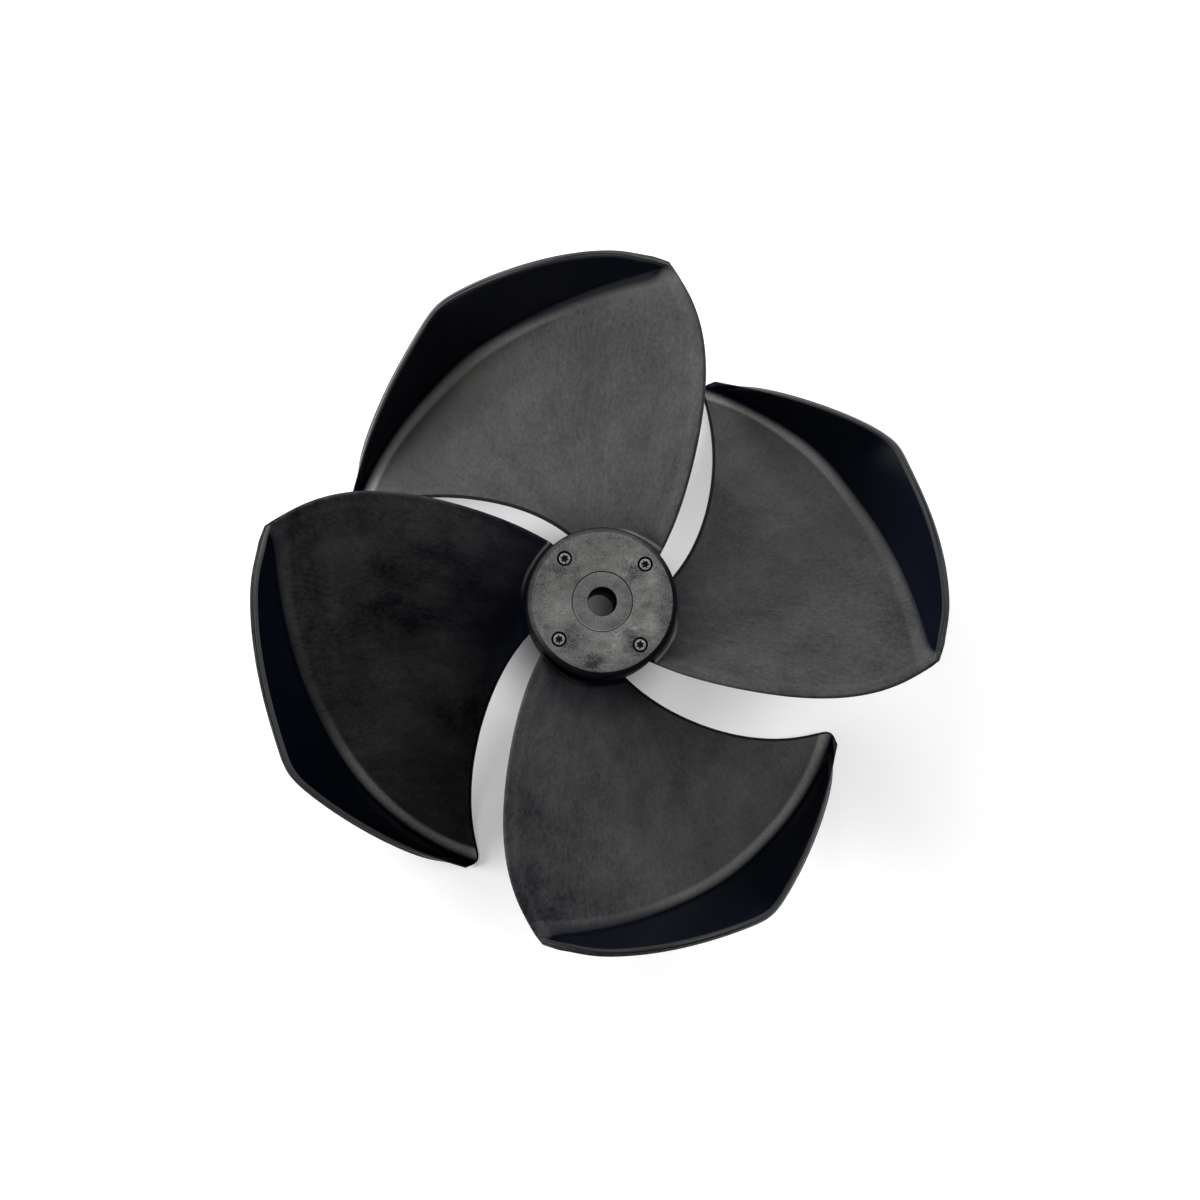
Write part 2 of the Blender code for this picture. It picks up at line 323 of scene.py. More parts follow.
def painted_light_and_shade(tree, out, share, past_fold, number):
    """How much painted light, and painted shade on some blades, the face gets towards the leading
    edge, the tip and the fold.
    """
    forward = fade(tree, share, *FORWARD_SPAN, 0.0, FORWARD_PAINTED_LIGHT)
    at_tip = fade(tree, share, *TIP_SPAN, 0.0, TIP_PAINTED_LIGHT)
    tip = times(tree, fade(tree, out, *TIP_REACH), at_tip)
    at_fold = fade(tree, share, *FOLD_SPAN, 0.0, FOLD_LIGHT_AND_SHADE[number - 1])
    left = fade(tree, share, *LEADING_SPAN, 1.0, LEFT_AT_LEADING)
    at_fold = times(tree, at_fold, left)
    at_trailing = fade(tree, share, *TRAILING_SPAN, 0.0, TRAILING_LIGHT_AND_SHADE[number - 1])
    at_fold = maths(tree, "ADD", at_fold, at_trailing)
    near = times(tree, fade(tree, past_fold, *FOLD_REACH), at_fold)
    return total(tree, [forward, tip, near])


print("streaks", STREAK[0], "mm long, clouds", CLOUD[0], "mm")

# %% Painted shade at the root and in the lip, and painted highlights on the fillet and the fold
ROOT_END = 37.0
ROOT_FOOT = 2.0
ROOT_SPAN = (0.25, 0.75)
ROOT_STRENGTHS = (0.7, 1.2)
FILLET_HIGHLIGHT_REACH = 1.2
FILLET_HIGHLIGHT_SPAN = (28, 12)
UPPER_SIDE = (-50, -70)
FOLD_HIGHLIGHT_REACH = (-4.6, -3.0)
LEAST_FOLD_HIGHLIGHT = 0.05
CRUMB = (1.2, 1.2, 1.2)
CRUMB_STRENGTHS = (0.7, 1.3)
LIP_LINE = (-2.2, 2.4)
LIP_SHIFT_SPAN = (0.25, 0.5)
LEADING_SHIFT_SPAN = (0.6, 0.85)
CORNER_SPAN = (12, 0)
CORNER_SHIFT = 4.0


def at_root(tree, out, share, past_fold, from_trailing, number):
    """How much painted navy shade, black painted shadow and painted fillet highlight the root gets.
    """
    navy = fade(tree, out, ROOT_REACH[number - 1], ROOT_END, 0.0, ROOT_SHADE[number - 1])
    navy = times(tree, navy, fade(tree, share, *ROOT_SPAN, *ROOT_STRENGTHS))
    black = fade(tree, out, ROOT_END + ROOT_FOOT, ROOT_END, 0.0, ROOT_FOOT_SHADOW[number - 1])
    at_trailing = fade(tree, from_trailing, *FILLET_HIGHLIGHT_SPAN, 0.0, ROOT_FILLET_HIGHLIGHT[number - 1])
    line = times(tree, band(tree, out, ROOT_END, FILLET_HIGHLIGHT_REACH), at_trailing)
    line = times(tree, line, fade(tree, past_fold, *UPPER_SIDE))
    return navy, black, line


def fold_highlight_amount(tree, place, share, past_fold, number):
    """How much painted highlight the crest of the fold gets, in crumbs rather than evenly."""
    strength = fade(tree, share, *FOLD_HIGHLIGHT_SPAN[number - 1], LEAST_FOLD_HIGHLIGHT, FOLD_HIGHLIGHT_STRENGTH[number - 1])
    fold_highlight = times(tree, fade(tree, past_fold, *FOLD_HIGHLIGHT_REACH), strength)
    crumbs = spread(tree, stretched_noise(tree, place, CRUMB, 3, 0.7), *CRUMB_STRENGTHS)
    return times(tree, fold_highlight, crumbs)


def lip_inside(tree, share, past_fold, from_trailing, number):
    """One on the inside of the lip, which is painted black as painted shade, and nothing on the face,
    with a line that wanders.
    """
    shift = fade(tree, share, *LIP_SHIFT_SPAN, *LIP_SHIFT[number - 1])
    at_corner = fade(tree, from_trailing, *CORNER_SPAN, 0.0, CORNER_SHIFT)
    at_leading = fade(tree, share, *LEADING_SHIFT_SPAN, 0.0, LEADING_SHIFT[number - 1])
    shift = total(tree, [shift, at_corner, at_leading])
    return fade(tree, maths(tree, "SUBTRACT", past_fold, shift), *LIP_LINE)


print("root ends", ROOT_END, "mm out")

# %% Blade material
EDGE_LINE = (3.6, 2.6)
EDGE_LINE_TONE = 0.1
TIP_OUT = (75, 105)
TIP_INWARD = (45, 8)
EDGE_BLACK = (1.5, 0.7)
RIM_LINE = (1.6, 0.9)
FACE_ROUGHNESS = 0.74
SMOOTHER_WHERE_LIGHT = -0.12
ROUGHER_WHERE_BLACK = 0.3
LIP_ROUGHNESS = 0.22
GLOSS = "Specular IOR Level"
BLADE_GLOSS = 0.11
BLADE_BUMP = 0.12
BUMP_DEPTH = 0.0002


def blade_plastic(number):
    made, tree, shader = new_material(f"streaked_plastic_with_painted_light_{number}")
    flow = add(tree, "Attribute", attribute_name="flow").outputs["Vector"]
    zone = add(tree, "Attribute", attribute_name="zone").outputs["Vector"]
    to_rim = add(tree, "Attribute", attribute_name="to_rim").outputs["Fac"]
    place = in_millimetres(tree)
    out = split(tree, flow)[0]
    past_fold, from_trailing, from_leading = split(tree, zone)
    width = maths(tree, "ADD", from_trailing, from_leading)
    share = maths(tree, "DIVIDE", from_trailing, width)
    marks = blade_marks(tree, flow, place, number)
    # Painted light and shade towards the leading edge, the tip, the fold and the trailing side.
    painted_light = painted_light_and_shade(tree, out, share, past_fold, number)
    edge_line = times(tree, band(tree, from_trailing, *EDGE_LINE), EDGE_LINE_TONE)
    # Painted light and shade at the tip, by blade.
    painted_tip_shading = fade(tree, out, *TIP_OUT, 0.0, TIP_LIGHT_AND_SHADE[number - 1])
    painted_tip_shading = times(tree, painted_tip_shading, fade(tree, from_trailing, *TIP_INWARD))
    tone = total(tree, [marks, painted_light, edge_line, painted_tip_shading])
    tone = maths(tree, "MAXIMUM", maths(tree, "ADD", tone, MIDDLE_TONE[number - 1]), 0.0)
    # Painted shade near the hub, a painted shadow at the foot of its wall, and a painted highlight on
    # the fillet.
    navy, black, fillet_highlight = at_root(tree, out, share, past_fold, from_trailing, number)
    # A painted highlight along the crest of the fold.
    fold_highlight = fold_highlight_amount(tree, place, share, past_fold, number)
    on_lip = lip_inside(tree, share, past_fold, from_trailing, number)
    # Painted shade along the leading edge, in the lip's black.
    on_edge = fade(tree, from_leading, *EDGE_BLACK)
    # A painted highlight along the lip's rim.
    on_rim = fade(tree, to_rim, *RIM_LINE, 0.0, LIP_RIM_HIGHLIGHT[number - 1])
    face = between(tree, tone, FACE_DARK, FACE_LIGHT, False)
    face = between(tree, navy, face, ROOT_SHADE_COLOUR)
    face = between(tree, black, face, LIP_BLACK)
    face = between(tree, fillet_highlight, face, PAINTED_HIGHLIGHT)
    face = between(tree, fold_highlight, face, PAINTED_HIGHLIGHT, False)
    colour = between(tree, maths(tree, "MAXIMUM", on_lip, on_edge), face, LIP_BLACK)
    colour = between(tree, on_rim, colour, PAINTED_HIGHLIGHT)
    rough = maths(tree, "MULTIPLY_ADD", tone, SMOOTHER_WHERE_LIGHT, FACE_ROUGHNESS)
    rough = maths(tree, "MULTIPLY_ADD", black, ROUGHER_WHERE_BLACK, rough)
    rough = add(tree, "MapRange", {0: on_lip, 3: rough, 4: LIP_ROUGHNESS}).outputs[0]
    bump_inputs = {"Height": marks, "Strength": BLADE_BUMP, "Distance": BUMP_DEPTH}
    bump = add(tree, "Bump", bump_inputs).outputs[0]
    feed(tree, shader, {"Base Color": colour, "Roughness": rough, "Normal": bump, GLOSS: BLADE_GLOSS})
    return made


streaked_plastic_with_painted_light = [blade_plastic(number) for number in range(1, BLADES + 1)]
print("made", ", ".join(made.name for made in streaked_plastic_with_painted_light))

# %% [markdown]
# ## The hub's plastic
#
# The hub is the same plastic, but its face has been skimmed flat and then handled. The face is
# a mottled grey with dull smudges near the screws, a few paler patches and hair-thin pale
# scratches, and with painted shade towards its edge, less on the upper left, where the light
# comes from. The side keeps the deep black of the moulding, and so does the rounded rim, apart
# from its upper left, which has a grey painted highlight. A thin painted shadow lies along the
# upper part of the eye round the bush's nose. The height of a point tells face and rim apart. The
# mottling comes from noise in the object's own coordinates, in millimetres, and the smudges are
# round spots whose edges another noise makes ragged. A scratch is a contour line of a noise,
# which is thin and wanders like the real ones.

# %% Tone of the hub's face
HUB_RADIUS = 33.0
RIM_ROUND = 2.8
HUB_CLOUD = (17.0, 12.0, 12.0)
HUB_BLOTCH = (4.6, 3.4, 3.4)
GRAIN = (0.8, 0.8, 0.8)
RAGGED = (3.0, 3.0, 3.0)
HUB_CLOUD_TONE = 0.18
HUB_BLOTCH_TONE = 0.13
GRAIN_TONE = 0.20
RAGGED_BY = 1.6
SCRATCH_SIZE = 4.0
SCRATCH_WIDTH = 0.03
SCRATCHED_PATCHES = (0.52, 0.62)
SCRATCH_TONE = 0.4
HUB_MIDDLE_TONE = 0.55
EDGE_SHADE = -0.16
EDGE_SHADE_FROM = 21
LESS_SHADE_ON_LIT_SIDE = -0.7
SPOTS = (
    (-3.0, -26.5, 6.5, -0.52),
    (-14.3, -15.5, 9.0, -0.46),
    (15.0, 13.0, 8.0, -0.46),
    (13.5, -17.0, 8.5, -0.46),
    (-18.5, 14.0, 6.0, -0.22),
    (22.0, 10.5, 6.0, 0.25),
    (21.5, -9.5, 6.0, 0.22),
    (-19.0, -10.0, 6.5, 0.15),
    (9.0, -8.0, 6.0, 0.12),
)


def scratches(tree, place):
    """One on the thin contour lines of a noise, in some patches, and nothing elsewhere."""
    wander = stretched_noise(tree, place, [SCRATCH_SIZE] * 3, 1)
    off_line = maths(tree, "ABSOLUTE", maths(tree, "SUBTRACT", wander, 0.5))
    somewhere = stretched_noise(tree, place, [3 * SCRATCH_SIZE] * 3, 1)
    patch = fade(tree, somewhere, *SCRATCHED_PATCHES)
    return times(tree, fade(tree, off_line, SCRATCH_WIDTH, 0.0), patch)


def face_tone(tree, place, out, on_lit_side):
    """The tone of the skimmed face, from dark at 0 to light at 1, with painted shade towards its
    edge.
    """
    cloud = mark(tree, place, HUB_CLOUD, HUB_CLOUD_TONE)
    blotch = mark(tree, place, HUB_BLOTCH, HUB_BLOTCH_TONE, 3, 0.55)
    grain = mark(tree, place, GRAIN, GRAIN_TONE)
    ragged = mark(tree, place, RAGGED, RAGGED_BY, 3, 0.6)
    spots = [
        times(tree, spot(tree, place, (x, y, FACE), reach, ragged), strength)
        for x, y, reach, strength in SPOTS
    ]
    scratched = times(tree, scratches(tree, place), SCRATCH_TONE)
    marks = total(tree, [cloud, blotch, grain, scratched, *spots])
    tone = maths(tree, "ADD", marks, HUB_MIDDLE_TONE)
    # Painted shade towards the face's edge, less on the lit upper-left side.
    at_edge = fade(tree, out, EDGE_SHADE_FROM, HUB_RADIUS - RIM_ROUND, 0.0, EDGE_SHADE)
    off_side = maths(tree, "MULTIPLY_ADD", on_lit_side, LESS_SHADE_ON_LIT_SIDE, 1.0)
    return maths(tree, "MULTIPLY_ADD", at_edge, off_side, tone)


print(len(SPOTS), "spots on the face")

# %% Hub material
NOSE_RADIUS = 13.0
GAP = 0.3
SKIMMED_DARK = (0.024, 0.024, 0.026, 1)
SKIMMED_LIGHT = (0.210, 0.210, 0.200, 1)
HUB_BLACK = (0.0020, 0.0022, 0.0040, 1)
SKIM_EDGE = (-0.12, -0.01)
LIT_SIDE = (-0.6, 0.8, 0.0)
LIT_SIDE_SPAN = (-10, 12)
RIM_HIGHLIGHT_DEPTHS = (-1.8, -0.1)
RIM_HIGHLIGHT_STRENGTH = 0.45
EYE_SHADOW_WIDTH = 0.2
EYE_SHADOW_SPAN = (-3, -9)
WALL_ROUGHNESS = 0.85
HUB_ROUGHNESS = 0.62
HUB_SMOOTHER_WHERE_LIGHT = -0.25
HUB_BUMP = 0.1
HUB_GLOSS = 0.12


def from_axis(tree, place):
    """How far a point is from the wheel's axis."""
    inputs = {0: out_of_axis(tree, place)}
    return add(tree, "VectorMath", inputs, operation="LENGTH").outputs["Value"]


def hub_plastic():
    made, tree, shader = new_material("handled_plastic_with_painted_light")
    place = in_millimetres(tree)
    out = from_axis(tree, place)
    # The upper-left side, towards the strongest lights, gets less painted shade and a painted
    # highlight on the rim.
    towards = add(tree, "VectorMath", {0: place, 1: LIT_SIDE}, operation="DOT_PRODUCT")
    on_lit_side = fade(tree, towards.outputs["Value"], *LIT_SIDE_SPAN)
    tone = face_tone(tree, place, out, on_lit_side)
    height = over_face(tree, place)
    skimmed = fade(tree, height, *SKIM_EDGE)
    # A grey painted highlight on the rounded rim's upper left.
    rim_highlight = times(tree, fade(tree, height, *RIM_HIGHLIGHT_DEPTHS), on_lit_side)
    rim_highlight = times(tree, rim_highlight, RIM_HIGHLIGHT_STRENGTH)
    skimmed = maths(tree, "MAXIMUM", skimmed, rim_highlight)
    # A thin painted shadow at the edge of the eye, on its upper part.
    outside_eye_shadow = fade(tree, out, NOSE_RADIUS + GAP, NOSE_RADIUS + GAP + EYE_SHADOW_WIDTH)
    below = fade(tree, split(tree, place)[1], *EYE_SHADOW_SPAN)
    outside_eye_shadow = maths(tree, "MAXIMUM", outside_eye_shadow, below)
    colour = between(tree, tone, SKIMMED_DARK, SKIMMED_LIGHT)
    colour = between(tree, times(tree, skimmed, outside_eye_shadow), HUB_BLACK, colour)
    rough = maths(tree, "MULTIPLY_ADD", tone, HUB_SMOOTHER_WHERE_LIGHT, HUB_ROUGHNESS)
    rough = add(tree, "MapRange", {0: skimmed, 3: WALL_ROUGHNESS, 4: rough}).outputs[0]
    bump_inputs = {"Height": tone, "Strength": HUB_BUMP, "Distance": BUMP_DEPTH}
    bump = add(tree, "Bump", bump_inputs).outputs[0]
    feed(tree, shader, {"Base Color": colour, "Roughness": rough, "Normal": bump, GLOSS: HUB_GLOSS})
    return made


handled_plastic_with_painted_light = hub_plastic()
print("made", handled_plastic_with_painted_light.name)

# %% [markdown]
# ## The bush and the screws
#
# The bush was faced off together with the hub, so its nose is level with the hub's face and as
# grey, with a pale painted highlight along the lower part of its edge. It has fine marks that run
# out from the bore, which are noise read round the axis. The bore itself is painted black, as
# painted shade, in a finish of its own, and so is the bush below the face. The screws are steel,
# light grey and worn on their heads, and painted black down in their sockets, as painted shade.

# %% Bush materials
BUSH_DARK = (0.045, 0.045, 0.045, 1)
BUSH_LIGHT = (0.170, 0.170, 0.166, 1)
NOSE_HIGHLIGHT_COLOUR = (0.36, 0.36, 0.35, 1)
BORE_BLACK = (0.0015, 0.0015, 0.002, 1)
RAY = (0.04, 0.04, 0.04)
BUSH_CLOUD = (6.0, 6.0, 6.0)
BUSH_MARK_TONE = 0.2
BUSH_MIDDLE_TONE = 0.47
BUSH_SKIM_EDGE = (-0.7, -0.3)
NOSE_HIGHLIGHT_BAND = (12.9, 0.4)
NOSE_HIGHLIGHT_SPAN = (-2, -9)
NOSE_HIGHLIGHT_STRENGTH = 0.7
BUSH_ROUGHNESS = 0.56
BUSH_GLOSS = 0.2
BORE_NOISE = (3.0, 3.0, 8.0)
BORE_ROUGHNESS = (0.7, 0.9)
BORE_GLOSS = 0.05


def turned_metal_with_painted_light():
    made, tree, shader = new_material("turned_metal_with_painted_light")
    place = in_millimetres(tree)
    inputs = {0: out_of_axis(tree, place)}
    direction = add(tree, "VectorMath", inputs, operation="NORMALIZE").outputs[0]
    rays = mark(tree, direction, RAY, BUSH_MARK_TONE, 4, 0.7)
    cloud = mark(tree, place, BUSH_CLOUD, BUSH_MARK_TONE)
    grain = mark(tree, place, GRAIN, BUSH_MARK_TONE)
    tone = maths(tree, "ADD", total(tree, [rays, cloud, grain]), BUSH_MIDDLE_TONE)
    skimmed = fade(tree, over_face(tree, place), *BUSH_SKIM_EDGE)
    # A pale painted highlight along the lower part of the nose's edge.
    below = fade(tree, split(tree, place)[1], *NOSE_HIGHLIGHT_SPAN, 0.0, NOSE_HIGHLIGHT_STRENGTH)
    nose_highlight = times(tree, band(tree, from_axis(tree, place), *NOSE_HIGHLIGHT_BAND), below)
    colour = between(tree, tone, BUSH_DARK, BUSH_LIGHT)
    colour = between(tree, nose_highlight, colour, NOSE_HIGHLIGHT_COLOUR)
    # Painted shade: black below the face, down the bore and over the hidden flange.
    colour = between(tree, skimmed, BORE_BLACK, colour)
    rough = maths(tree, "MULTIPLY_ADD", tone, SMOOTHER_WHERE_LIGHT, BUSH_ROUGHNESS)
    feed(tree, shader, {"Base Color": colour, "Roughness": rough, GLOSS: BUSH_GLOSS})
    return made


def bore_in_painted_shade():
    made, tree, shader = new_material("bore_painted_shade")
    # The bore's black is painted shade.
    film = stretched_noise(tree, in_millimetres(tree), BORE_NOISE, 3)
    rough = spread(tree, film, *BORE_ROUGHNESS)
    feed(tree, shader, {"Base Color": BORE_BLACK, "Roughness": rough, GLOSS: BORE_GLOSS})
    return made


turned_steel = turned_metal_with_painted_light()
bore_painted_shade = bore_in_painted_shade()
print("made", turned_steel.name, "and", bore_painted_shade.name)

# %% Screw material
SCREW_DARK = (0.12, 0.12, 0.12, 1)
SCREW_LIGHT = (0.44, 0.44, 0.43, 1)
SOCKET_BLACK = (0.01, 0.01, 0.01, 1)
SCREW_WEAR = (0.9, 0.9, 0.9)
SOCKET_DEPTHS = (-1.2, -0.55)
SCREW_ROUGH = 0.5
SCREW_WORN_SMOOTH = 0.34
SCREW_METALLIC = 0.5


def screw_metal():
    made, tree, shader = new_material("worn_steel_with_painted_shade")
    place = in_millimetres(tree)
    wear = spread(tree, stretched_noise(tree, place, SCREW_WEAR, 3), 0.0, 1.0)
    # The socket, below the head's top, is painted black as painted shade.
    head_top = fade(tree, over_face(tree, place), *SOCKET_DEPTHS)
    colour = between(tree, wear, SCREW_DARK, SCREW_LIGHT)
    colour = between(tree, head_top, SOCKET_BLACK, colour)
    rough = add(tree, "MapRange", {0: wear, 3: SCREW_ROUGH, 4: SCREW_WORN_SMOOTH}).outputs[0]
    feed(tree, shader, {"Base Color": colour, "Roughness": rough, "Metallic": SCREW_METALLIC})
    return made


screw_steel_with_painted_shade = screw_metal()
print("made", screw_steel_with_painted_shade.name)

# %% [markdown]
# ## One side of a blade, as a formula
#
# A blade is a sheet bounded by two curves that sweep out from the hub: the leading edge, which
# is low and hollow in outline, and the trailing edge, which is high and full. Both are cubic
# curves over the radius, four numbers each for the angle round the axis and for the height.
# Between them the sheet sags, deepest a little towards the leading edge. At the tip it folds up
# into the lip, whose rim is two more cubic spans. Sculpting this by hand would leave waves, and
# a formula stays smooth at any fineness.

# %% Blade curves
EDGE_START = 30.0
LEADING_END = 137.5
LEADING_ANGLES = (107.1, 136.5, 141.1, 157.7)
LEADING_HEIGHTS = (-27.0, -35.0, -93.0, -88.5)
TRAILING_END = 142.0
TRAILING_ANGLES = (39.0, 63.6, 61.7, 79.9)
TRAILING_HEIGHTS = (-5.5, 15.5, 43.5, 33.0)
CAMBER = 0.15
CAMBER_SKEW = 0.5

FOLD_RADIUS = 137.7
FOLD_START_DIP = 6.2
FOLD_BEND = 5.0
RIM_ANGLES = (152.8, 118.6, 78.9)
RIM_LOW_RADII = (137.5, 141.0, 145.5, 153.1)
RIM_LOW_HEIGHTS = (-88.5, -73.0, -37.5, -11.0)
RIM_HIGH_RADII = (153.1, 142.5, 142.3, 141.2)
RIM_HIGH_HEIGHTS = (-11.0, 19.0, 37.0, 34.3)
CORNER_DIP = 1.4
CORNER_DIP_SPAN = (24, 10)


def cubic(controls, t):
    a, b, c, d = controls
    s = 1 - t
    return s ** 3 * a + 3 * s ** 2 * t * b + 3 * s * t ** 2 * c + t ** 3 * d


def polar(radius, degrees, height):
    angle = math.radians(degrees)
    return np.array([radius * math.cos(angle), radius * math.sin(angle), height])


def section(radius):
    """Angles and heights of the two edges at this radius, and the width between them."""
    lead = (radius - EDGE_START) / (LEADING_END - EDGE_START)
    trail = (radius - EDGE_START) / (TRAILING_END - EDGE_START)
    angles = cubic(LEADING_ANGLES, lead), cubic(TRAILING_ANGLES, trail)
    heights = cubic(LEADING_HEIGHTS, lead), cubic(TRAILING_HEIGHTS, trail)
    return angles, heights, radius * math.radians(angles[0] - angles[1])


def blade_point(share, radius):
    """A point of the upper side, share of the way from the leading to the trailing edge."""
    angles, heights, width = section(radius)
    sag = CAMBER * width * 4 * share * (1 - share) * (1 + CAMBER_SKEW * (0.5 - share))
    angle = angles[0] + (angles[1] - angles[0]) * share
    return polar(radius, angle, heights[0] + (heights[1] - heights[0]) * share - sag)


def fold_radius(share):
    return FOLD_RADIUS - FOLD_START_DIP * (1 - share) ** 6


def smooth_step(value, start, end):
    """Goes smoothly from 0, where the value is start, to 1, where it is end."""
    t = np.clip((value - start) / (end - start), 0, 1)
    return t ** 2 * (3 - 2 * t)


def rim_point(share):
    """A point of the inner edge of the lip's rim, which dips in a little at the last corner."""
    start, peak, end = RIM_ANGLES
    angle = start + (end - start) * share
    if angle > peak:
        t = (start - angle) / (start - peak)
        return polar(cubic(RIM_LOW_RADII, t), angle, cubic(RIM_LOW_HEIGHTS, t))
    t = (peak - angle) / (peak - end)
    to_corner = (1 - share) * section(FOLD_RADIUS)[2]
    dip = CORNER_DIP * smooth_step(to_corner, *CORNER_DIP_SPAN)
    return polar(cubic(RIM_HIGH_RADII, t) - dip, angle, cubic(RIM_HIGH_HEIGHTS, t))


widths = [round(section(radius)[2]) for radius in (HUB_RADIUS, FOLD_RADIUS)]
print("root is", widths[0], "mm wide, tip", widths[1], "mm")

# %% [markdown]
# ## A cage for one blade
#
# The sheet becomes a solid the way a modeller would make it: a coarse cage of points, which a
# Subdivision Surface then rounds. The cage has lines from hub to rim. Each line starts inside
# the hub's wall, runs down a small fillet onto the blade, along it, round the fold and up the
# lip. Lines and rows lie close together at the edges, because that is what keeps an edge
# tight when the cage is subdivided. The lower side is the upper side moved back along its own
# normals by the blade's thickness, which is greatest at the root.

# %% Lines across the blade
EDGE_LINES = (0.0, 0.9, 3.0, 6.5)
CREASE = 8.0
TIGHT = 1.2
TRAIL_LINES = (11.5, CREASE + TIGHT, CREASE, CREASE - TIGHT, 3.0, 0.9, 0.0)
BEFORE_PEAK = 9
AFTER_PEAK = 9
PEAK_SHARE = (RIM_ANGLES[0] - RIM_ANGLES[1]) / (RIM_ANGLES[0] - RIM_ANGLES[2])
CREASE_DROP = 0.55


def line_shares(radius):
    """Shares of the lines across the blade: fixed distances near both edges, even between.
    One line runs out to the rim's peak."""
    width = section(radius)[2]
    lead = [distance / width for distance in EDGE_LINES]
    trail = [1 - distance / width for distance in TRAIL_LINES]
    before = np.linspace(lead[-1], PEAK_SHARE, BEFORE_PEAK + 1)[1:]
    after = np.linspace(PEAK_SHARE, trail[0], AFTER_PEAK + 1)[1:-1]
    return [*lead, *before, *after, *trail]


def sheet_point(share, radius):
    """A point of the upper side, with its trailing band bent down a little past the crease."""
    point = blade_point(share, radius)
    inside = (1 - share) * section(radius)[2]
    point[2] -= CREASE_DROP * max(0, 1 - inside / CREASE)
    return point


LINES = len(line_shares(FOLD_RADIUS))
print(LINES, "lines across")

# %% [markdown]
# ## Root fillet, fold and lip
#
# The fillet at the root is a parabola that leaves the hub's wall steeply and meets the blade
# flat. It stays below the rounded rim of the hub, so it gets low where the trailing edge comes
# up to the rim. The fold is a quadratic curve between the blade and the lip.

# %% Upper and lower side of the cage
BLADE_THICKNESS = 3.0
ROOT_EXTRA = 2.5
ROOT_BLEND = 25.0
EDGE_THICKNESS = 2.0
EDGE_BAND = 8.0
HUB_DRAFT = 0.8
INTO_WALL = 0.2
INSIDE_WALL = 1.5
FILLET = 4.0
LEAST_LIFT = 0.4
FILLET_STEPS = (0.0, 0.3, 0.6, 1.0)
SPAN_LEVEL = -10.0
SPAN_ROWS = 15
BEND_ROWS = 5
LIP_ROWS = 6
RIM_TIGHT = 0.9


def wall_radius(height):
    """Just inside the hub's wall, which gets wider towards the back."""
    return HUB_RADIUS + HUB_DRAFT * height / HUB_BACK - INTO_WALL


def root_rows(line):
    """Rows from inside the hub's wall to the fillet's end: upper points, fillet heights."""
    rows, lifts = [], []
    share = line_shares(HUB_RADIUS)[line]
    wall = wall_radius(sheet_point(share, HUB_RADIUS)[2])
    room = -RIM_ROUND - sheet_point(share, wall)[2]
    lift = min(FILLET, max(LEAST_LIFT, room))
    for step in (-1, *FILLET_STEPS):
        radius = wall - INSIDE_WALL if step < 0 else wall + FILLET * step ** 2
        share = line_shares(radius)[line]
        rows.append(sheet_point(share, radius))
        lifts.append(lift * (1 - max(step, 0)) ** 2)
    return rows, lifts


def outer_rows(line):
    """Rows from the fillet's end over the blade, round the fold and up the lip to the rim."""
    start = wall_radius(SPAN_LEVEL) + FILLET
    nominal_end = FOLD_RADIUS - FOLD_BEND
    last_share = line_shares(nominal_end)[line]
    corner = sheet_point(last_share, fold_radius(last_share))
    rim = rim_point(last_share)
    lip = np.linalg.norm(rim - corner)
    bend = min(FOLD_BEND, 0.5 * lip)
    rows = []
    for i in range(1, SPAN_ROWS + 1):
        part = i / SPAN_ROWS
        share = line_shares(start + (nominal_end - start) * part)[line]
        end = fold_radius(share) - bend
        rows.append(sheet_point(share, start + (end - start) * part))
    flat_end = rows[-1]
    bend_end = corner + (rim - corner) * bend / lip
    for i in range(1, BEND_ROWS + 1):
        t = i / BEND_ROWS
        rows.append((1 - t) ** 2 * flat_end + 2 * t * (1 - t) * corner + t ** 2 * bend_end)
    for t in [*np.linspace(0, 1, LIP_ROWS + 1)[1:-1], 1 - RIM_TIGHT / lip, 1]:
        rows.append(bend_end + (rim - bend_end) * t)
    return rows


def thickness_at(share, point):
    radius = math.hypot(point[0], point[1])
    width = section(min(radius, FOLD_RADIUS))[2]
    inward = min(1, max(0, 1 - (radius - HUB_RADIUS) / ROOT_BLEND))
    body = BLADE_THICKNESS + ROOT_EXTRA * inward ** 2
    from_edge = min(share, 1 - share) * width / EDGE_BAND
    return EDGE_THICKNESS + (body - EDGE_THICKNESS) * min(1, from_edge)


print("fillets", FILLET, "mm, crease", CREASE, "mm inside the trailing edge")

# %% [markdown]
# ## From the cage to the four blades
#
# The normals come from the cage itself: the cross product of the step to the next row and the
# step to the next line. The lip keeps its slope to its very end, so the last lines there share
# the normals of the line before them. Then the two sides are joined into one closed skin. The
# attributes for the shader are stored at the cage's points, and the subdivision carries them
# over to the finer mesh. It would also round every corner, so the lip's last corner is creased.
#
# The real wheel isn't quite regular, as a large moulding seldom is. Each blade is the same cage
# turned by a quarter of a turn, and then its tip and its trailing edge are moved by a
# millimetre or so, by its own amounts.

# %% Build a blade's cage
LIP_START = 1 + len(FILLET_STEPS) + SPAN_ROWS
FOLD_ROW = LIP_START - 1 + BEND_ROWS // 2


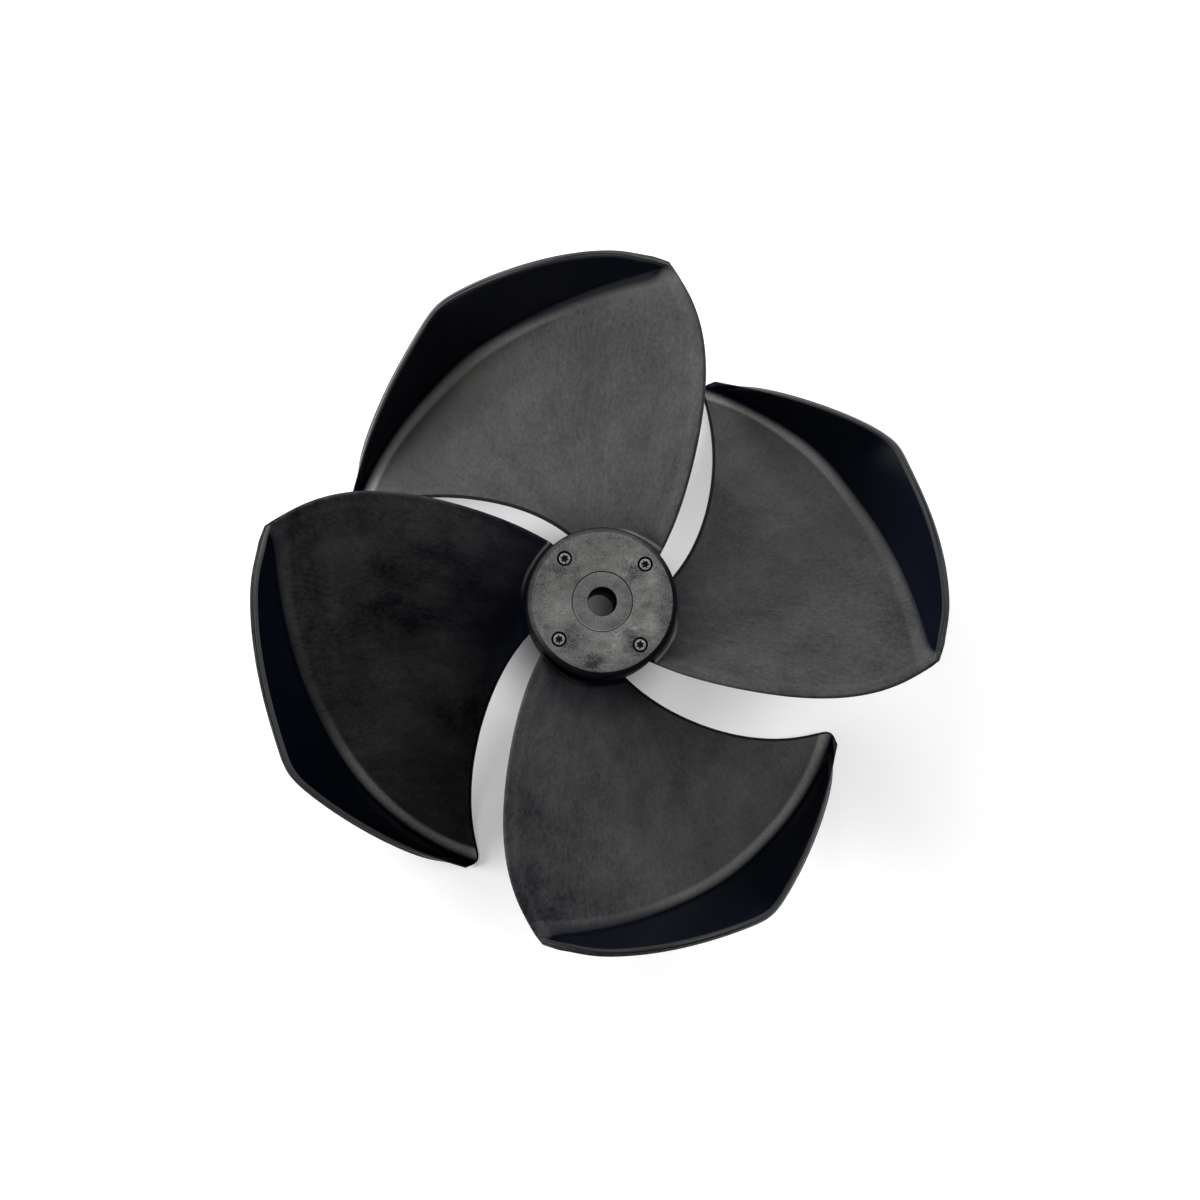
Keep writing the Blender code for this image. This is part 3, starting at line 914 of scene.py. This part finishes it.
def cage_sides():
    """Arrays by line and row: upper and lower points, and the values flow, zone and to_rim."""
    upper, lifts = [], []
    for line in range(LINES):
        rows, lift = root_rows(line)
        rows += outer_rows(line)
        upper.append(rows)
        lifts.append(lift + [0] * (len(rows) - len(lift)))
    upper = np.array(upper)
    lifts = np.array(lifts)
    along = np.gradient(upper, axis=1)
    across = np.gradient(upper, axis=0)
    normal = np.cross(across, along)
    normal /= np.linalg.norm(normal, axis=2, keepdims=True)
    inner = LINES - len(TRAIL_LINES)
    normal[inner:, LIP_START:] = normal[inner, LIP_START:]
    shares = line_shares(FOLD_RADIUS - FOLD_BEND)
    thick = np.array(
        [[thickness_at(shares[i], point) for point in row] for i, row in enumerate(upper)]
    )
    lower = upper - normal * thick[:, :, None]
    steps = np.linalg.norm(np.diff(upper, axis=1), axis=2)
    reach = HUB_RADIUS + np.cumsum(np.pad(steps, ((0, 0), (1, 0))), axis=1)
    turn_across = np.degrees(np.arctan2(upper[:, :, 1], upper[:, :, 0]))
    flow = np.stack([reach, turn_across, np.zeros_like(reach)], axis=2)
    radii = np.minimum(np.hypot(upper[:, :, 0], upper[:, :, 1]), FOLD_RADIUS)
    width = np.array([[section(radius)[2] for radius in line] for line in radii])
    share = np.array([[line_shares(r)[i] for r in line] for i, line in enumerate(radii)])
    past_fold = reach - reach[:, [FOLD_ROW]]
    zone = np.stack([past_fold, (1 - share) * width, share * width], axis=2)
    to_rim = reach[:, [-1]] - reach
    upper[:, :, 2] += lifts
    lower[:, :, 2] -= lifts
    return upper, lower, flow, zone, to_rim


upper_side, lower_side, flow_field, zone_field, rim_field = cage_sides()
ROWS = upper_side.shape[1]
print("cage of", LINES, "by", ROWS, "points a side")

# %% Skin the cage and make the four blades
SUBDIVISIONS = 2
OWN_MARKS = 7.0
UNDERSIDE = 30.0
OUTSIDE = 3.0
CORNER_CREASE = 0.9
OWN_REACH = ((-1.2, 1.4), (0.4, 0.1), (0.5, 1.3), (0.4, -1.5))
OWN_SWEEP = (0.1, -0.15, 0.4, -0.5)
REACH_SPAN = (0.36, 0.56)
REACH_FROM = 45
REACH_OVER = 90
SWEEP_SPAN = (0.5, 1.0)
SWEEP_OUT = (45, 95)


def skin(upper, lower):
    """Faces of a closed skin over two grids of points, which share their outer edge's order."""
    lines, rows = upper.shape[:2]

    def at(side, line, row):
        return side * lines * rows + line * rows + row

    faces = []
    for i in range(lines - 1):
        for j in range(rows - 1):
            square = [(i, j), (i + 1, j), (i + 1, j + 1), (i, j + 1)]
            faces.append([at(0, *corner) for corner in square])
            faces.append([at(1, *corner) for corner in reversed(square)])
    border = [(i, 0) for i in range(lines)]
    border += [(lines - 1, j) for j in range(1, rows)]
    border += [(i, rows - 1) for i in range(lines - 2, -1, -1)]
    border += [(0, j) for j in range(rows - 2, 0, -1)]
    for here, there in zip(border, border[1:] + border[:1]):
        faces.append([at(0, *there), at(0, *here), at(1, *here), at(1, *there)])
    return np.concatenate([upper.reshape(-1, 3), lower.reshape(-1, 3)]), faces


def sprung(side, number):
    """One side of the cage, with its tip and trailing edge moved by this blade's own amounts."""
    shares = np.array(line_shares(FOLD_RADIUS))[:, None]
    out = np.hypot(side[:, :, 0], side[:, :, 1])
    at_leading, at_trailing = OWN_REACH[number - 1]
    change = at_leading + (at_trailing - at_leading) * smooth_step(shares, *REACH_SPAN)
    reach = out + change * np.clip((out - REACH_FROM) / REACH_OVER, 0, 1) ** 2
    sweep = np.radians(OWN_SWEEP[number - 1]) * smooth_step(shares, *SWEEP_SPAN)
    angle = np.arctan2(side[:, :, 1], side[:, :, 0]) + sweep * smooth_step(out, *SWEEP_OUT)
    return np.stack([reach * np.cos(angle), reach * np.sin(angle), side[:, :, 2]], axis=2)


def make_blade(number):
    points, faces = skin(sprung(upper_side, number), sprung(lower_side, number))
    mesh = bpy.data.meshes.new(f"moulded_blade_{number}")
    mesh.from_pydata((points + (0, 0, FACE)) * MM, [], faces)
    flow = np.concatenate([flow_field.reshape(-1, 3)] * 2) + (0, 0, OWN_MARKS * number)
    under = zone_field * (0, 1, 1) - (UNDERSIDE, 0, 0)
    zone = np.concatenate([zone_field.reshape(-1, 3), under.reshape(-1, 3)])
    for name, values in (("flow", flow), ("zone", zone)):
        kept = mesh.attributes.new(name, "FLOAT_VECTOR", "POINT")
        kept.data.foreach_set("vector", values.ravel())
    to_rim = np.concatenate([rim_field.ravel(), rim_field.ravel() + OUTSIDE])
    kept = mesh.attributes.new("to_rim", "FLOAT", "POINT")
    kept.data.foreach_set("value", to_rim)
    crisp = mesh.attributes.new("crease_vert", "FLOAT", "POINT")
    for side in (1, 2):
        crisp.data[side * LINES * ROWS - 1].value = CORNER_CREASE
    mesh.transform(Matrix.Rotation(2 * math.pi * (number - 1) / BLADES, 4, "Z"))
    shape = bmesh.new()
    shape.from_mesh(mesh)
    bmesh.ops.recalc_face_normals(shape, faces=shape.faces)
    shape.to_mesh(mesh)
    shape.free()
    blade = placed(mesh.name, mesh)
    rounding = blade.modifiers.new("Rounding", "SUBSURF")
    rounding.levels = rounding.render_levels = SUBDIVISIONS
    mesh.shade_smooth()
    mesh.materials.append(streaked_plastic_with_painted_light[number - 1])
    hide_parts(f"blade_{number}")
    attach(blade, "root")
    return blade


blades = [make_blade(number) for number in range(1, BLADES + 1)]
print("made", ", ".join(blade.name for blade in blades))

# %% [markdown]
# ## Turned shapes
#
# The hub, the bush and the screws are all turned: a profile of radius and height, spun round
# the axis. The Screw modifier does that. An outer corner of the profile gets a small arc, since
# no moulded or turned edge is perfectly sharp, and the arc is what catches the light.

# %% Turning helpers
MERGE_WITHIN = 0.00001
SHARP_ANGLE = 32


def arc(centre, radius, start, end, count):
    """Points on an arc of a profile, from angle start to end, in degrees."""
    angles = [math.radians(start + (end - start) * i / count) for i in range(count + 1)]
    return [(centre[0] + radius * math.cos(a), centre[1] + radius * math.sin(a)) for a in angles]


def turned(name, profile, steps, place=(0, 0)):
    """A solid of revolution whose profile, in mm from the hub's face, is a closed loop."""
    points = [(radius * MM, 0, (FACE + height) * MM) for radius, height in profile]
    edges = [(i, i + 1) for i in range(len(points) - 1)]
    if profile[0][0] > 0:
        edges.append((len(points) - 1, 0))
    mesh = bpy.data.meshes.new(name)
    mesh.from_pydata(points, edges, [])
    made = placed(name, mesh)
    spin = made.modifiers.new("Turn", "SCREW")
    spin.axis = "Z"
    spin.steps = spin.render_steps = steps
    spin.use_merge_vertices = True
    spin.merge_threshold = MERGE_WITHIN
    return settled(made, place)


def settled(obj, place=(0, 0)):
    """The same object with its modifiers made into mesh, moved to its place."""
    graph = bpy.context.evaluated_depsgraph_get()
    mesh = bpy.data.meshes.new_from_object(obj.evaluated_get(graph))
    mesh.transform(Matrix.Translation((place[0] * MM, place[1] * MM, 0)))
    mesh.name = obj.name
    obj.modifiers.clear()
    obj.data = mesh
    return obj


def cut_away(obj, cutters):
    """Takes the cutters out of the object, and then removes them."""
    for cutter in cutters:
        boolean = obj.modifiers.new("Cut", "BOOLEAN")
        boolean.operation = "DIFFERENCE"
        boolean.object = cutter
    settled(obj)
    for cutter in cutters:
        bpy.data.objects.remove(cutter)


def dress(obj, finish, node):
    """Smooth shading up to sharp edges, the finish, and its place in the frame."""
    obj.data.materials.clear()
    obj.data.materials.append(finish)
    obj.data.shade_smooth()
    obj.data.set_sharp_from_angle(angle=math.radians(SHARP_ANGLE))
    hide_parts(node)
    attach(obj, "root")
    print(obj.name, len(obj.data.polygons), "faces")


print("turning helpers ready")

# %% [markdown]
# ## The hub
#
# The hub is a cup that opens at the back. Its face has a generous round at the rim, its wall
# tapers so that it leaves the mould, and the four screws sit in counterbores. The cutters for
# those are turned too, with a narrow chamfer at the top.

# %% Make the hub
HUB_WALL = 4.0
FACE_THICKNESS = 5.5
EYE_ROUND = 0.2
FOOT_ROUND = 0.8
INSIDE_ROUND = 1.5
SCREWS = 4
SCREW_CIRCLE = 25.0
SCREW_ANGLE = 41.0
COUNTERBORE_RADIUS = 3.3
CHAMFER = 0.15
SHANK_RADIUS = 1.5
HEAD_SINK = 0.5
HEAD_HEIGHT = 3.0
PAST = 1
THROUGH = 20
LARGE_STEPS = 192
SCREW_STEPS = 48

screw_places = [
    tuple(polar(SCREW_CIRCLE, SCREW_ANGLE + 360 * i / SCREWS, 0)[:2]) for i in range(SCREWS)
]


def hub_profile():
    eye = NOSE_RADIUS + GAP
    foot = HUB_RADIUS + HUB_DRAFT
    inner = HUB_RADIUS - HUB_WALL - INSIDE_ROUND
    low = HUB_BACK + FOOT_ROUND
    points = arc((eye + EYE_ROUND, -EYE_ROUND), EYE_ROUND, 180, 90, 3)
    points += arc((HUB_RADIUS - RIM_ROUND, -RIM_ROUND), RIM_ROUND, 90, 0, 9)
    points += arc((foot - FOOT_ROUND, low), FOOT_ROUND, 0, -90, 4)
    points += arc((foot - HUB_WALL + FOOT_ROUND, low), FOOT_ROUND, -90, -180, 4)
    points += arc((inner, -FACE_THICKNESS - INSIDE_ROUND), INSIDE_ROUND, 0, 90, 5)
    points += [(eye, -FACE_THICKNESS)]
    return points


def counterbore(place):
    """A cutter from just past the face, with a chamfer, to far below the head's seat."""
    floor = -HEAD_SINK - HEAD_HEIGHT - GAP
    profile = [
        (0, PAST),
        (COUNTERBORE_RADIUS + CHAMFER + PAST, PAST),
        (COUNTERBORE_RADIUS, -CHAMFER),
        (COUNTERBORE_RADIUS, floor),
        (SHANK_RADIUS + GAP, floor),
        (SHANK_RADIUS + GAP, -THROUGH),
        (0, -THROUGH),
    ]
    return turned("counterbore", profile, SCREW_STEPS, place)


hub = turned("moulded_hub", hub_profile(), LARGE_STEPS)
cut_away(hub, [counterbore(place) for place in screw_places])
dress(hub, handled_plastic_with_painted_light, "hub")

# %% [markdown]
# ## The bush
#
# The bush is a sleeve with a flange near its upper end. The flange is pulled against the back of
# the hub's face by the screws, and the nose comes up through the eye of the face, with a
# hairline gap all round it.

# %% Make the bush
BORE_RADIUS = 6.35
FLANGE_RADIUS = 28.0
FLANGE_THICKNESS = 5.0
NOSE_ROUND = 0.25
BORE_ROUND = 0.4
FLANGE_ROUND = 0.4
END_ROUND = 0.5
BORE_MARGIN = 0.1
HOLE_STEPS = 32

flange_top = -FACE_THICKNESS - GAP
flange_back = flange_top - FLANGE_THICKNESS


def bush_profile():
    edge = FLANGE_RADIUS - FLANGE_ROUND
    end = SLEEVE_END + END_ROUND
    points = arc((BORE_RADIUS + BORE_ROUND, -BORE_ROUND), BORE_ROUND, 180, 90, 4)
    points += arc((NOSE_RADIUS - NOSE_ROUND, -NOSE_ROUND), NOSE_ROUND, 90, 0, 4)
    points += [(NOSE_RADIUS, flange_top)]
    points += arc((edge, flange_top - FLANGE_ROUND), FLANGE_ROUND, 90, 0, 3)
    points += arc((edge, flange_back + FLANGE_ROUND), FLANGE_ROUND, 0, -90, 3)
    points += [(NOSE_RADIUS, flange_back)]
    points += arc((NOSE_RADIUS - END_ROUND, end), END_ROUND, 0, -90, 3)
    points += arc((BORE_RADIUS + END_ROUND, end), END_ROUND, -90, -180, 3)
    return points


def flange_hole(place):
    reach, top, low = SHANK_RADIUS + GAP, flange_top + PAST, flange_back - PAST
    profile = [(0, top), (reach, top), (reach, low), (0, low)]
    return turned("flange_hole", profile, HOLE_STEPS, place)


bush = turned("turned_bush", bush_profile(), LARGE_STEPS)
cut_away(bush, [flange_hole(place) for place in screw_places])
dress(bush, turned_steel, "bush")
bush.data.materials.append(bore_painted_shade)
for face in bush.data.polygons:
    if math.hypot(*face.center[:2]) < (BORE_RADIUS + BORE_MARGIN) * MM:
        face.material_index = 1

# %% [markdown]
# ## The screws
#
# A small cap screw has a round head with a bevel, and a six-lobed socket. The socket's cutter is
# an outline whose radius swings between a lobe and a waist six times a turn, extruded down.

# %% Make the screws
HEAD_RADIUS = 2.6
HEAD_ROUND = 0.45
SCREW_LENGTH = 8.0
SOCKET_RADIUS = 1.8
SOCKET_WAIST = 1.2
SOCKET_DEPTH = 1.5
SOCKET_TURN = 0.9
LOBES = 6
OUTLINE_POINTS = 72
TIP_CHAMFER = 0.4


def socket_cutter(place, turn):
    """A prism with six lobes, from above the head down to the socket's floor."""
    top = -HEAD_SINK + PAST
    floor = -HEAD_SINK - SOCKET_DEPTH
    shape = bmesh.new()
    ring = []
    for i in range(OUTLINE_POINTS):
        angle = 2 * math.pi * i / OUTLINE_POINTS
        swing = (1 + math.cos(LOBES * angle)) / 2
        radius = SOCKET_WAIST + (SOCKET_RADIUS - SOCKET_WAIST) * swing
        across = radius * math.cos(angle + turn) + place[0]
        up = radius * math.sin(angle + turn) + place[1]
        ring.append(shape.verts.new((across * MM, up * MM, (FACE + floor) * MM)))
    bottom = shape.faces.new(ring)
    grown = bmesh.ops.extrude_face_region(shape, geom=[bottom])["geom"]
    raised = [item for item in grown if isinstance(item, bmesh.types.BMVert)]
    bmesh.ops.translate(shape, verts=raised, vec=(0, 0, (top - floor) * MM))
    bmesh.ops.recalc_face_normals(shape, faces=shape.faces)
    mesh = bpy.data.meshes.new("socket")
    shape.to_mesh(mesh)
    shape.free()
    return placed("socket", mesh)


def make_screw(number, place):
    top = -HEAD_SINK
    base = top - HEAD_HEIGHT
    tip = base - SCREW_LENGTH
    profile = [(0, top)]
    profile += arc((HEAD_RADIUS - HEAD_ROUND, top - HEAD_ROUND), HEAD_ROUND, 90, 0, 5)
    profile += [(HEAD_RADIUS, base), (SHANK_RADIUS, base), (SHANK_RADIUS, tip + TIP_CHAMFER)]
    profile += [(SHANK_RADIUS - TIP_CHAMFER, tip), (0, tip)]
    screw = turned(f"cap_screw_{number}", profile, SCREW_STEPS, place)
    cut_away(screw, [socket_cutter(place, SOCKET_TURN * number)])
    dress(screw, screw_steel_with_painted_shade, f"screw_{number}")
    return screw


screws = [make_screw(number, place) for number, place in enumerate(screw_places, 1)]

# %% [markdown]
# ## Floor and light
#
# The wheel lies on a plain white floor. Each blade faces its own way, so a blade is only as
# bright as the light on its side. Five large soft lights, most of them low, stand round the
# wheel's left, top and right, the strongest on the left, and nothing stands below it, which is
# why the left blade stays dark; its colour is painted darker as well. Two small ones overhead
# open the shadows. The floor glows a little away from the wheel, so that it stays white in the
# blades' shadows, and close under the hub, where hardly any light would get in, it has a
# painted shadow, darker on the right. That painted shadow shows through the bore.

# %% Floor
FLOOR_HALF = 3.0
FLOOR_WHITE = (0.86, 0.86, 0.86, 1)
SHADE_LEFT = (0.085, 0.085, 0.089, 1)
SHADE_RIGHT = (0.022, 0.022, 0.023, 1)
SHADE_CENTRE = (-9.0, 1.0, 0.0)
SHADE_REACH = (20.0, 61.0)
SHADE_ACROSS = (-4.0, 11.0)
GLOW_REACH = (30.0, 160.0)
FLOOR_GLOW = 0.38
FLOOR_ROUGHNESS = 0.9
FLOOR_GLOSS = 0.1


def floor_paint():
    made, tree, shader = new_material("white_floor_with_painted_shadow")
    place = in_millimetres(tree)
    # A painted shadow on the floor close under the hub, darker towards the right.
    away = add(tree, "VectorMath", {0: place, 1: SHADE_CENTRE}, operation="DISTANCE")
    open_floor = fade(tree, away.outputs["Value"], *SHADE_REACH)
    to_right = fade(tree, split(tree, place)[0], *SHADE_ACROSS)
    shade = between(tree, to_right, SHADE_LEFT, SHADE_RIGHT)
    colour = between(tree, open_floor, shade, FLOOR_WHITE)
    glow = fade(tree, away.outputs["Value"], *GLOW_REACH, 0.0, FLOOR_GLOW)
    feed(tree, shader, {"Base Color": colour, "Roughness": FLOOR_ROUGHNESS, GLOSS: FLOOR_GLOSS})
    feed(tree, shader, {"Emission Strength": glow, "Emission Color": (1, 1, 1, 1)})
    return made


shape = bmesh.new()
bmesh.ops.create_grid(shape, x_segments=2, y_segments=2, size=FLOOR_HALF)
floor_mesh = bpy.data.meshes.new("floor")
shape.to_mesh(floor_mesh)
shape.free()
floor_mesh.materials.append(floor_paint())
floor = placed("floor", floor_mesh)
print("floor", 2 * FLOOR_HALF, "m wide")

# %% Lights
LIGHT_DISTANCE = 1.6
LOW = 72
HALF_WAY = 52
HIGH = 32
LARGE = 0.8
SMALL = 0.6


def soft_light(name, round_axis, from_vertical, size, watts):
    """A round area light that faces the hub, at these angles, in degrees, from +X and from +Z."""
    lamp = bpy.data.lights.new(name, "AREA")
    lamp.shape = "DISK"
    lamp.size = size
    lamp.energy = watts
    made = placed(name, lamp)
    aim = Matrix.Rotation(math.radians(round_axis), 4, "Z")
    aim @= Matrix.Rotation(math.radians(from_vertical), 4, "Y")
    hub_middle = Matrix.Translation((0, 0, FACE * MM))
    made.matrix_world = hub_middle @ aim @ Matrix.Translation((0, 0, LIGHT_DISTANCE))
    made.visible_camera = False


soft_light("left_softbox", 180, LOW, LARGE, 31)
soft_light("upper_left_softbox", 135, LOW, LARGE, 11)
soft_light("top_softbox", 90, LOW, LARGE, 11)
soft_light("right_softbox", 0, LOW, LARGE, 9)
soft_light("upper_right_softbox", 45, HALF_WAY, LARGE, 7)
soft_light("overhead_left", 135, HIGH, SMALL, 4)
soft_light("overhead_right", 0, HIGH, SMALL, 4)

bpy.context.scene.view_settings.view_transform = "Standard"
